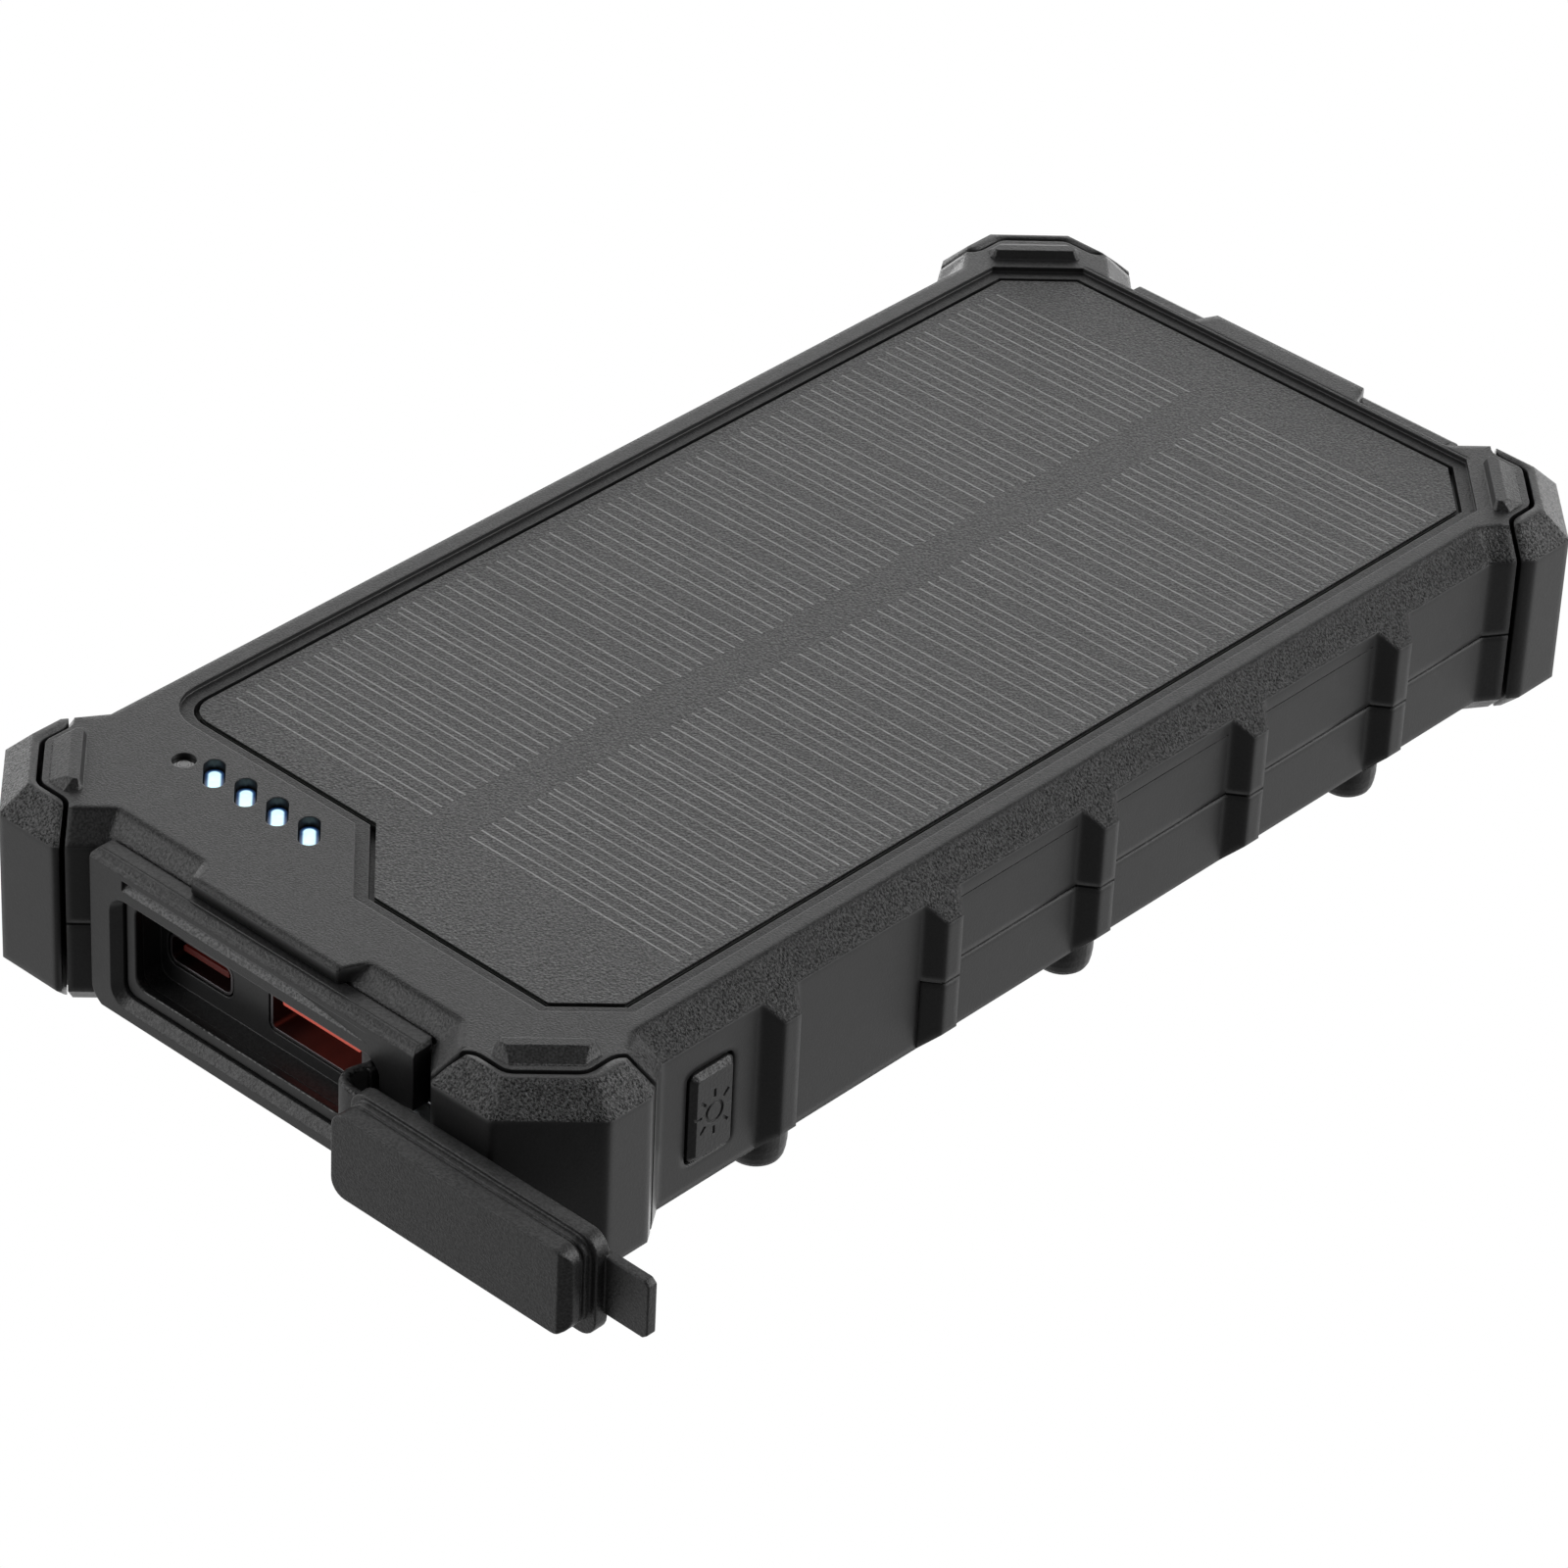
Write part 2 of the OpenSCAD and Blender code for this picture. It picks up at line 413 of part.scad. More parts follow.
module usb_a_tongue() color([0.85, 0.25, 0.22]) difference() {
  union() {
    facing(rrect(-0.9, 13.0, 10.1, 14.9, 0.25), 63.4, 75.1);
    facing(rrect(-1.6, 10.3, 10.8, 15.45, 0.4), 62.25, 63.45);
  }
  for (i = [0:3]) box([0.65 + i*2.45, -74.9, 12.8], [1.75 + i*2.45, -63, 13.2]);
}
module usb_a_contacts() color([0.85, 0.75, 0.4]) for (i = [0:3]) box([0.75 + i*2.45, i == 1 || i == 2 ? -73.6 : -74.6, 12.86], [1.65 + i*2.45, -63.6, 13.16]);
module usb_c_shell() color([0.5, 0.5, 0.53]) {
  difference() {
    facing(rrect(-16.7, 10.5, -7.5, 14.1, 1.1), 66, 75.7);
    facing(rrect(-16.4, 10.8, -7.8, 13.8, 0.8), 66.8, 80);
  }
  for (x = [-15.6, -9.6]) box([x, -74, 9.85], [x + 1, -68, 10.55]);
}
module usb_c_tongue() color([0.45, 0.1, 0.09]) {
  facing(rrect(-15.4, 11.95, -8.8, 12.65, 0.2), 67.9, 75);
  facing(rrect(-16.35, 10.85, -7.85, 13.75, 0.75), 66.85, 68);
}
module power_inductor() color([0.2, 0.2, 0.2]) {
  prism(rrect(15.5, -62.5, 25.5, -53, 1.6), 9.85, 14.6);
  prism(rrect(-29, -65.5, -21, -58, 1.4), 9.85, 13.8);
}
module controller_chips() color([0.06, 0.06, 0.06]) {
  box([-6.5, -60.5, 9.85], [0.5, -54, 10.9]);
  box([4.5, -60, 9.85], [10.5, -54.5, 10.8]);
  box([-15, -60, 9.85], [-10, -55.5, 10.8]);
}
module capacitors() color([0.75, 0.75, 0.78]) {
  for (p = [[14.2, -69.5], [27.6, -67.5]]) translate([p[0], p[1], 9.85]) cylinder(r = 2, h = 7, $fn = 32);
  for (i = [0:4]) box([-20 + i*2.2, -53.6, 9.85], [-18.8 + i*2.2, -51.8, 10.7]);
}

// ---------- battery ----------
module battery_cell_lower() color([0.72, 0.73, 0.75]) prism(rrect(-32.4, -44, 32.4, 65.5, 1.8), 3.6, 12.15);
module battery_cell_upper() color([0.72, 0.73, 0.75]) prism(rrect(-32.4, -44, 32.4, 65.5, 1.8), 12.7, 21.3);
module cell_pad() color([0.2, 0.2, 0.22]) prism(rrect(-29, -38, 29, 60, 1.8), 12.2, 12.66);
module cell_tabs() color([0.8, 0.8, 0.78]) for (x = [-14, 10], z = [7.8, 17]) box([x, -46.25, z], [x + 5, -44.05, z + 0.2]);
module protection_board() color([0.08, 0.28, 0.14]) box([-26, -47.3, 5], [26, -46.3, 19.5]);
module battery_leads() color([0.75, 0.1, 0.1]) for (x = [-25.2, -21.6]) {
  ycyl(x, -56.4, 10.75, 0.8, 9.05, 20);
}
module housing_seal() color([0.1, 0.1, 0.1]) difference() {
  translate([0, 0, 12.1]) linear_extrude(1.2) difference() { cavity_plan(0.05); cavity_plan(0.65); }
  for (s = [-1, 1], y = foot_ys) translate([s*foot_x, y, 0]) cylinder(r = 3.1, h = 30, $fn = 36);
  box([30, btn_y - 5.5, 0], [50, btn_y + 5.5, 30]);
  front_window(0.2);
  ycyl(torch_x, -95, torch_z, 3.7, 25);
}

place() upper_housing();
place() lower_housing();
place() bumper(1, -1);  // bumper_front_right
place() bumper(-1, -1);  // bumper_front_left
place() bumper(1, 1);  // bumper_rear_right
place() bumper(-1, 1);  // bumper_rear_left
place() port_bezel();
place() port_ring();
place() rear_bezel();
place() port_cover();
place() cover_strap_anchor();
place() light_button();
place() button_seal();
place() tact_switch();
place() switch_plunger();
place() torch_lens();
place() torch_reflector();
place() torch_diode();
place() solar_cover_sheet();
place() solar_cells();
place() solar_backing();
place() panel_adhesive();
place() panel_leads();
place() light_guide();
place() status_window();
place() indicator_board();
place() indicator_diodes();
place() rubber_feet();
place() housing_seal();
place() battery_cell_lower();
place() battery_cell_upper();
place() cell_pad();
place() cell_tabs();
place() protection_board();
place() battery_leads();
place() main_board();
place() usb_a_shell();
place() usb_a_tongue();
place() usb_a_contacts();
place() usb_c_shell();
place() usb_c_tongue();
place() power_inductor();
place() controller_chips();
place() capacitors();
place() housing_screws();
place() board_screws();
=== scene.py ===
import math

import bmesh
import bpy
from mathutils import Matrix, Vector


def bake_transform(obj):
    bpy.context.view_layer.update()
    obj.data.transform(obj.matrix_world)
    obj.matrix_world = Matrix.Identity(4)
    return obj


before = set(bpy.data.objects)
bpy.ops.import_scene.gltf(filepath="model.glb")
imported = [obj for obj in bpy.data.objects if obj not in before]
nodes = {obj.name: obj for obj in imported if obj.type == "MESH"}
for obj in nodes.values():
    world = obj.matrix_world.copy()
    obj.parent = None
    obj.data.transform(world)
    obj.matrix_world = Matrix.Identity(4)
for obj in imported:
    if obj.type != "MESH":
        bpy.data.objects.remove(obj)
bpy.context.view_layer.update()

MM = 0.001
BELOW, AROUND, BACK, LOBE_L, LOBE_R, OVERHEAD = 0.74, 0.80, 0.86, 3.2, 7.0, 0.20   # brightness of the surroundings
DROP = 1.4            # the origin is on the underside, this far above the soles of the feet
scene = bpy.context.scene


# ---------------------------------------------------------------- node helpers
class Mat:
    """Builds a material's node tree with short calls."""

    def __init__(self, name):
        self.m = bpy.data.materials.new(name)
        self.m.use_nodes = True
        self.t = self.m.node_tree
        self.t.nodes.clear()
        self.out = self.t.nodes.new("ShaderNodeOutputMaterial")
        self.geo = self.t.nodes.new("ShaderNodeNewGeometry")
        tc = self.t.nodes.new("ShaderNodeTexCoord")
        self.obj = self.vec("SCALE", tc.outputs["Object"], scale=1000.0)
        sep = self.t.nodes.new("ShaderNodeSeparateXYZ")
        self.t.links.new(self.obj, sep.inputs[0])
        self.x, self.y, self.z = sep.outputs
        sepn = self.t.nodes.new("ShaderNodeSeparateXYZ")
        self.t.links.new(self.geo.outputs["Normal"], sepn.inputs[0])
        self.nx, self.ny, self.nz = sepn.outputs

    def put(self, socket, value):
        if isinstance(value, bpy.types.NodeSocket):
            self.t.links.new(value, socket)
        elif value is not None:
            socket.default_value = value

    def node(self, kind, props=None, **inputs):
        n = self.t.nodes.new(kind)
        for k, v in (props or {}).items():
            setattr(n, k, v)
        for k, v in inputs.items():
            self.put(n.inputs[k.replace("_", " ")], v)
        return n

    def math(self, op, a, b=None, c=None, clamp=False):
        n = self.t.nodes.new("ShaderNodeMath")
        n.operation = op
        n.use_clamp = clamp
        for i, v in enumerate((a, b, c)):
            self.put(n.inputs[i], v)
        return n.outputs[0]

    def vec(self, op, a, b=None, scale=None):
        n = self.t.nodes.new("ShaderNodeVectorMath")
        n.operation = op
        self.put(n.inputs[0], a)
        if b is not None:
            self.put(n.inputs[1], b)
        if scale is not None:
            self.put(n.inputs["Scale"], scale)
        return n.outputs["Value"] if op == "DOT_PRODUCT" else n.outputs[0]

    def step(self, v, lo, hi, out_lo=0.0, out_hi=1.0):
        n = self.t.nodes.new("ShaderNodeMapRange")
        n.interpolation_type = "SMOOTHSTEP"
        self.put(n.inputs["Value"], v)
        n.inputs["From Min"].default_value = lo
        n.inputs["From Max"].default_value = hi
        n.inputs["To Min"].default_value = out_lo
        n.inputs["To Max"].default_value = out_hi
        return n.outputs[0]

    def noise(self, scale, detail=2.0, rough=0.5, vector=None):
        n = self.node("ShaderNodeTexNoise", {"noise_dimensions": "3D"}, Vector=vector or self.obj, Scale=scale, Detail=detail, Roughness=rough)
        return n.outputs[0]

    def mixc(self, fac, a, b, blend="MIX"):
        n = self.t.nodes.new("ShaderNodeMix")
        n.data_type = "RGBA"
        n.blend_type = blend
        self.put(n.inputs[0], fac)
        self.put(n.inputs[6], a)
        self.put(n.inputs[7], b)
        return n.outputs[2]

    def mixf(self, fac, a, b):
        n = self.t.nodes.new("ShaderNodeMix")
        n.data_type = "FLOAT"
        self.put(n.inputs[0], fac)
        self.put(n.inputs[2], a)
        self.put(n.inputs[3], b)
        return n.outputs[0]

    def edge(self, radius_mm, samples=6):
        """(normal rounded at edges, 0..1 value that is 1 on an edge)"""
        b = self.node("ShaderNodeBevel", {"samples": samples}, Radius=radius_mm * MM)
        d = self.vec("DOT_PRODUCT", b.outputs[0], self.geo.outputs["True Normal"])
        return b.outputs[0], self.step(d, 0.995, 0.80)

    def bump(self, height, dist_mm, strength=1.0, normal=None):
        n = self.node("ShaderNodeBump", None, Strength=strength, Distance=dist_mm * MM, Height=height)
        if normal is not None:
            self.t.links.new(normal, n.inputs["Normal"])
        return n.outputs[0]

    def bsdf(self, color, rough, normal=None, metal=0.0, spec=0.5, coat=None, emit=None, emit_strength=None, trans=None, alpha=None, ior=None):
        p = self.t.nodes.new("ShaderNodeBsdfPrincipled")
        self.put(p.inputs["Base Color"], color)
        self.put(p.inputs["Roughness"], rough)
        self.put(p.inputs["Metallic"], metal)
        self.put(p.inputs["Specular IOR Level"], spec)
        if normal is not None:
            self.put(p.inputs["Normal"], normal)
        if coat is not None:
            self.put(p.inputs["Coat Weight"], coat)
        if emit is not None:
            self.put(p.inputs["Emission Color"], emit)
            self.put(p.inputs["Emission Strength"], emit_strength)
        if trans is not None:
            self.put(p.inputs["Transmission Weight"], trans)
        if alpha is not None:
            self.put(p.inputs["Alpha"], alpha)
        if ior is not None:
            self.put(p.inputs["IOR"], ior)
        self.t.links.new(p.outputs[0], self.out.inputs[0])
        return self.m


def rgb(v, tint=(1.0, 1.0, 1.0)):
    return (v * tint[0], v * tint[1], v * tint[2], 1.0)


# ---------------------------------------------------------------- materials
def moulded(name, base, top=(0.06, 4.4), bev=(0.24, 3.5), wall=(0.012, 3.6), rough=(0.42, 0.38, 0.36), radius=0.2, wide=0.0, spec=0.5, painted_edge_highlight_gain=3.0, tint=(1.0, 1.0, 1.02), speck=(0.26, 0.95, 0.06), housing=False, painted_groove_light=False):
    """Moulded plastic or rubber. The grain is fine on flat tops, coarse and sparkling on bevels and almost smooth on walls."""
    m = Mat(name)
    nrm, edge = m.edge(radius)
    shoulder = None
    if wide:
        big = m.node("ShaderNodeBevel", {"samples": 8}, Radius=wide * MM).outputs[0]
        if housing:
            # wide rounding only along the outer rim of the top and bottom, not at the recess, the slots or the corner seams
            ax, ay = m.math("ABSOLUTE", m.x), m.math("ABSOLUTE", m.y)
            rim = m.math("MAXIMUM", m.math("GREATER_THAN", ax, 35.9), m.math("MAXIMUM", m.math("GREATER_THAN", m.y, 75.15), m.math("LESS_THAN", m.y, -73.6)))
            corner = m.math("GREATER_THAN", m.math("ADD", ax, ay), 103.2)
            f1 = m.math("MULTIPLY", m.math("GREATER_THAN", ax, 36.3), m.math("LESS_THAN", ay, 67.4))
            f2 = m.math("MULTIPLY", m.math("GREATER_THAN", ay, 75.9), m.math("LESS_THAN", ax, 27.7))
            keep = m.math("SUBTRACT", 1.0, m.math("MULTIPLY", corner, m.math("SUBTRACT", 1.0, m.math("MAXIMUM", f1, f2))))
            mask = m.math("MULTIPLY", rim, keep)
            mix = m.node("ShaderNodeMix", {"data_type": "VECTOR"})
            m.t.links.new(mask, mix.inputs["Factor"])
            m.t.links.new(nrm, mix.inputs[4])
            m.t.links.new(big, mix.inputs[5])
            nrm = mix.outputs[1]
            # the rounded shoulder between the top and the sloping side is rubbed smooth
            turn = m.step(m.vec("DOT_PRODUCT", big, m.geo.outputs["True Normal"]), 0.9995, 0.985)
            shoulder = m.math("MULTIPLY", m.math("MULTIPLY", turn, mask), m.step(m.nz, 0.4, 0.6))
        else:
            nrm = big
    if housing:
        # the painted edge highlight is left off near the seam between the shells
        edge = m.math("MULTIPLY", edge, m.step(m.math("ABSOLUTE", m.math("SUBTRACT", m.z, 11.37)), 0.35, 0.7))
        # painted shadow: a thin dark line along the seam where the shells part at mid height, except round the light
        # button, where the upper shell reaches the bottom
        painted_seam_shadow = m.step(m.math("ABSOLUTE", m.math("SUBTRACT", m.z, 11.37)), 0.17, 0.09)
        whole = m.math("MULTIPLY", m.math("GREATER_THAN", m.x, 30.0), m.math("LESS_THAN", m.y, -25.0))
        painted_seam_shadow = m.math("MULTIPLY", painted_seam_shadow, m.math("SUBTRACT", 1.0, whole))
    up = m.math("ABSOLUTE", m.nz)
    is_top = m.step(up, 0.90, 0.985)
    is_bev = m.math("MULTIPLY", m.step(up, 0.25, 0.45), m.math("SUBTRACT", 1.0, is_top))
    if housing:
        # the raised bars and the sloping ends keep the fine grain of the top
        fine_zone = m.math("MAXIMUM", m.step(m.z, 23.64, 23.70), m.math("MULTIPLY", m.step(m.math("ABSOLUTE", m.y), 72.5, 73.5), m.step(m.math("ABSOLUTE", m.x), 33.5, 32.0)))
        is_bev = m.math("MULTIPLY", is_bev, m.math("SUBTRACT", 1.0, m.math("MULTIPLY", fine_zone, 0.8)))
        is_top = m.math("MAXIMUM", is_top, m.math("MULTIPLY", fine_zone, m.step(up, 0.3, 0.5)))
    is_wall = m.math("SUBTRACT", m.math("SUBTRACT", 1.0, is_top), is_bev, clamp=True)
    if shoulder is not None:
        is_bev = m.math("MULTIPLY", is_bev, m.math("SUBTRACT", 1.0, m.math("MULTIPLY", shoulder, 0.55)))
    fine = m.noise(top[1], 2.0, 0.55)
    coarse = m.noise(bev[1], 3.0, 0.62)
    smooth = m.noise(wall[1], 2.0, 0.5)
    h_top = m.math("MULTIPLY", fine, m.math("MULTIPLY", is_top, top[0] / 0.1))
    h_bev = m.math("MULTIPLY", coarse, m.math("MULTIPLY", is_bev, bev[0] / 0.1))
    h_wall = m.math("MULTIPLY", smooth, m.math("MULTIPLY", is_wall, wall[0] / 0.1))
    height = m.math("ADD", m.math("ADD", h_top, h_bev), h_wall)
    normal = m.bump(height, 0.1, 1.0, nrm)
    # pits and peaks of the grain, slow mottling, handling marks, and a painted highlight: lighter colour along the
    # edges
    dots = m.math("SUBTRACT", m.step(m.math("ADD", m.math("MULTIPLY", fine, 0.5), m.math("MULTIPLY", coarse, 0.5)), 0.34, 0.66), 0.5)
    amount = m.math("ADD", m.math("ADD", m.math("MULTIPLY", is_top, speck[0]), m.math("MULTIPLY", is_bev, speck[1])), m.math("MULTIPLY", is_wall, speck[2]))
    grain = m.math("ADD", 1.0, m.math("MULTIPLY", dots, m.math("MULTIPLY", amount, 2.0)))
    mottled = m.noise(0.06, 3.0, 0.6)
    scuff = m.step(m.noise(0.35, 6.0, 0.7), 0.56, 0.72)
    shade = m.mixf(mottled, base * 0.90, base * 1.12)
    shade = m.mixf(m.math("MULTIPLY", scuff, 0.16), shade, base * 1.5)
    shade = m.math("MULTIPLY", shade, grain)
    painted_shade = None
    if housing:
        # painted shade: the ledge that carries the panel is smoother, and its colour and specular level are darkened as
        # if in shadow, together with the seam line
        painted_shade = m.math("MULTIPLY", m.step(m.math("ABSOLUTE", m.math("SUBTRACT", m.z, 23.0)), 0.25, 0.08), m.step(up, 0.9, 0.98))
        painted_shade = m.math("MAXIMUM", m.math("MULTIPLY", painted_shade, 0.5), m.math("MULTIPLY", painted_seam_shadow, 1.7))
        shade = m.math("MULTIPLY", shade, m.math("SUBTRACT", 1.0, m.math("MULTIPLY", painted_shade, 0.55, clamp=True)))
    # painted highlight: edges are coloured lighter, with a noisy strength, in place of the light they catch
    painted_edge_highlight = m.math("MULTIPLY", edge, m.step(m.noise(0.9, 4.0, 0.6), 0.25, 0.7, 0.55, 1.0))
    shade = m.mixf(painted_edge_highlight, shade, base * painted_edge_highlight_gain)
    if painted_groove_light:
        # painted light: the finger groove above the ports faces up into the light, so its colour is lightened, with a
        # coarse painted sparkle
        painted_groove_light_mask = m.math("MULTIPLY", m.step(m.math("ABSOLUTE", m.math("SUBTRACT", m.z, 19.55)), 0.85, 0.70), m.math("MULTIPLY", m.step(m.nz, 0.3, 0.6), m.step(m.y, -80.75, -80.55)))
        painted_groove_light_mask = m.math("MULTIPLY", painted_groove_light_mask, m.math("MULTIPLY", m.step(m.math("ABSOLUTE", m.x), 18.4, 18.0), m.step(m.y, -79.5, -79.7)))
        shade = m.math("ADD", shade, m.math("MULTIPLY", painted_groove_light_mask, m.step(coarse, 0.38, 0.62, 0.015, 0.085)))
    color = m.node("ShaderNodeCombineColor", None, Red=m.math("MULTIPLY", shade, tint[0]), Green=m.math("MULTIPLY", shade, tint[1]), Blue=m.math("MULTIPLY", shade, tint[2])).outputs[0]
    r = m.mixf(is_top, m.mixf(is_bev, rough[2], rough[1]), rough[0])
    r = m.math("ADD", r, m.math("MULTIPLY", m.math("SUBTRACT", m.noise(0.5, 3.0, 0.6), 0.5), 0.10))
    r = m.math("SUBTRACT", r, m.math("MULTIPLY", scuff, 0.05))
    if shoulder is not None:
        r = m.math("SUBTRACT", r, m.math("MULTIPLY", shoulder, 0.20))
    shine = m.math("MULTIPLY", spec, m.math("ADD", 1.0, m.math("MULTIPLY", dots, m.math("MULTIPLY", amount, 1.6))))
    if painted_shade is not None:
        # the sloping sides are duller than the corner bumpers
        shine = m.math("MULTIPLY", shine, m.math("SUBTRACT", 1.0, m.math("MULTIPLY", is_bev, 0.30)))
        if shoulder is not None:
            shine = m.math("MULTIPLY", shine, m.math("SUBTRACT", 1.0, m.math("MULTIPLY", shoulder, 0.45)))
        shine = m.math("MULTIPLY", shine, m.math("SUBTRACT", 1.0, m.math("MULTIPLY", painted_shade, 0.55, clamp=True)))
    return m.bsdf(color, r, normal, spec=shine)


def metal(name, color, rough=0.3, radius=0.12, brushed=True):
    m = Mat(name)
    nrm, edge = m.edge(radius, 4)
    stretch = m.vec("MULTIPLY", m.obj, (0.6, 9.0, 9.0)) if brushed else m.obj
    lines = m.noise(2.5, 3.0, 0.6, stretch)
    normal = m.bump(lines, 0.01, 0.6, nrm)
    c = m.mixc(m.noise(0.4, 3.0), (color[0] * 0.85, color[1] * 0.85, color[2] * 0.85, 1), (*color, 1))
    r = m.math("ADD", m.math("MULTIPLY", lines, 0.14), rough - 0.05)
    return m.bsdf(c, r, normal, metal=1.0)


def plain(name, color, rough=0.5, grain=(0.01, 3.0), radius=0.15, spec=0.5, vary=0.12, coat=None, emit=None):
    """Small inner parts: colour drift, a fine grain and softened edges."""
    m = Mat(name)
    nrm, edge = m.edge(radius, 4)
    n = m.noise(grain[1], 3.0, 0.6)
    normal = m.bump(n, grain[0], 1.0, nrm)
    c = m.mixc(m.noise(0.5, 3.0), tuple(v * (1 - vary) for v in color) + (1,), tuple(v * (1 + vary) for v in color) + (1,))
    # painted highlight: edges are coloured lighter, in place of the light they catch
    c = m.mixc(m.math("MULTIPLY", edge, 0.5), c, tuple(min(1, v * 1.5 + 0.01) for v in color) + (1,))
    r = m.math("ADD", rough - 0.05, m.math("MULTIPLY", n, 0.1))
    if emit:
        return m.bsdf(c, r, normal, spec=spec, coat=coat, emit=c, emit_strength=emit)
    return m.bsdf(c, r, normal, spec=spec, coat=coat)


SHELL = moulded("shell_plastic", 0.012, wide=1.15, housing=True)
BUMPER = moulded("bumper_plastic", 0.011, bev=(0.24, 3.5), radius=0.3, wide=1.2, spec=0.58)
BEZEL = moulded("bezel_plastic", 0.012, top=(0.06, 2.6), bev=(0.08, 3.6), speck=(0.22, 0.3, 0.06), painted_groove_light=True)
INSERT = moulded("insert_plastic", 0.008, top=(0.01, 3.0), bev=(0.03, 2.5), rough=(0.35, 0.35, 0.33))
RUBBER = moulded("cover_rubber", 0.010, top=(0.05, 3.6), bev=(0.05, 3.6), wall=(0.05, 3.7), rough=(0.46, 0.44, 0.44), radius=0.3, speck=(0.25, 0.25, 0.22))
BUTTON = moulded("button_plastic", 0.013, wall=(0.03, 3.0), bev=(0.14, 2.4), rough=(0.45, 0.40, 0.38), radius=0.15, speck=(0.2, 0.5, 0.12), painted_edge_highlight_gain=3.5)
FOOT = moulded("foot_rubber", 0.010, wall=(0.03, 2.6), radius=0.25, rough=(0.5, 0.46, 0.44), speck=(0.1, 0.15, 0.15))
BLACK = plain("black_part", (0.012, 0.012, 0.013), 0.5)


def solar_film():
    """Grey embossed film over the cells: leathery grain, and thin finger lines printed in two columns of cells."""
    m = Mat("solar_film")
    nrm, edge = m.edge(0.12, 4)
    pitch, cell, y0 = 1.585, 11.95, -52.95
    v = m.math("SUBTRACT", m.y, y0 - 0.35)
    k = m.math("FLOOR", m.math("DIVIDE", v, cell))
    local = m.math("SUBTRACT", v, m.math("MULTIPLY", k, cell))
    j = m.math("FLOOR", m.math("DIVIDE", local, pitch))
    line = m.math("SUBTRACT", m.math("SUBTRACT", local, m.math("MULTIPLY", j, pitch)), 0.35)
    wob = m.math("MULTIPLY", m.math("SUBTRACT", m.noise(0.8, 2.0), 0.5), 0.10)
    dist = m.math("ABSOLUTE", m.math("ADD", line, wob))
    on = m.step(dist, 0.15, 0.05)
    on = m.math("MULTIPLY", on, m.math("LESS_THAN", j, 7.5))
    # the eighth line of a cell only shows on the nearer cells
    eighth = m.math("MULTIPLY", m.math("GREATER_THAN", j, 6.5), m.math("GREATER_THAN", k, 1.5))
    on = m.math("MULTIPLY", on, m.math("SUBTRACT", 1.0, eighth))
    on = m.math("MULTIPLY", on, m.math("MULTIPLY", m.math("GREATER_THAN", k, -0.5), m.math("LESS_THAN", k, 9.5)))
    side = m.math("GREATER_THAN", m.x, 0.0)

    def rnd(seed):
        w = m.t.nodes.new("ShaderNodeTexWhiteNoise")
        w.noise_dimensions = "2D"
        cmb = m.node("ShaderNodeCombineXYZ", None, X=m.math("ADD", k, seed), Y=m.math("ADD", side, m.math("MULTIPLY", j, 0.37 if seed > 50 else 0.0)))
        m.t.links.new(cmb.outputs[0], w.inputs["Vector"])
        return m.math("SUBTRACT", w.outputs["Value"], 0.5)

    shift = m.math("ADD", m.math("MULTIPLY", rnd(3.0), 0.9), m.math("MULTIPLY", rnd(77.0), 0.35))
    xx = m.math("ADD", m.x, shift)
    left = m.math("MULTIPLY", m.math("GREATER_THAN", xx, -31.1), m.math("LESS_THAN", xx, -2.6))
    right = m.math("MULTIPLY", m.math("GREATER_THAN", xx, 2.9), m.math("LESS_THAN", xx, 31.9))
    on = m.math("MULTIPLY", on, m.math("ADD", left, right, clamp=True))
    fade = m.step(m.noise(0.30, 2.0), 0.25, 0.65, 0.62, 1.0)
    on = m.math("MULTIPLY", on, fade)
    g1 = m.noise(3.7, 3.0, 0.6)
    g2 = m.node("ShaderNodeTexVoronoi", {"feature": "SMOOTH_F1"}, Vector=m.obj, Scale=3.2).outputs["Distance"]
    height = m.math("ADD", m.math("MULTIPLY", g1, 0.7), m.math("MULTIPLY", g2, 0.6))
    normal = m.bump(height, 0.19, 1.0, nrm)
    speck = m.step(g1, 0.30, 0.72)
    base = m.mixc(speck, rgb(0.010, (1, 1, 1.01)), rgb(0.066, (1, 1, 1.01)))
    drift = m.step(m.noise(0.05, 2.0), 0.3, 0.7, 0.94, 1.06)
    base = m.mixc(1.0, base, m.node("ShaderNodeCombineColor", None, Red=drift, Green=drift, Blue=drift).outputs[0], "MULTIPLY")
    # the cells show through as slightly darker panes with plain joints
    color = m.mixc(m.math("MULTIPLY", on, 0.85), base, rgb(0.26))
    color = m.mixc(m.step(m.nz, 0.8, 0.3), color, rgb(0.015))
    return m.bsdf(color, m.mixf(speck, 0.52, 0.42), normal, spec=0.5)


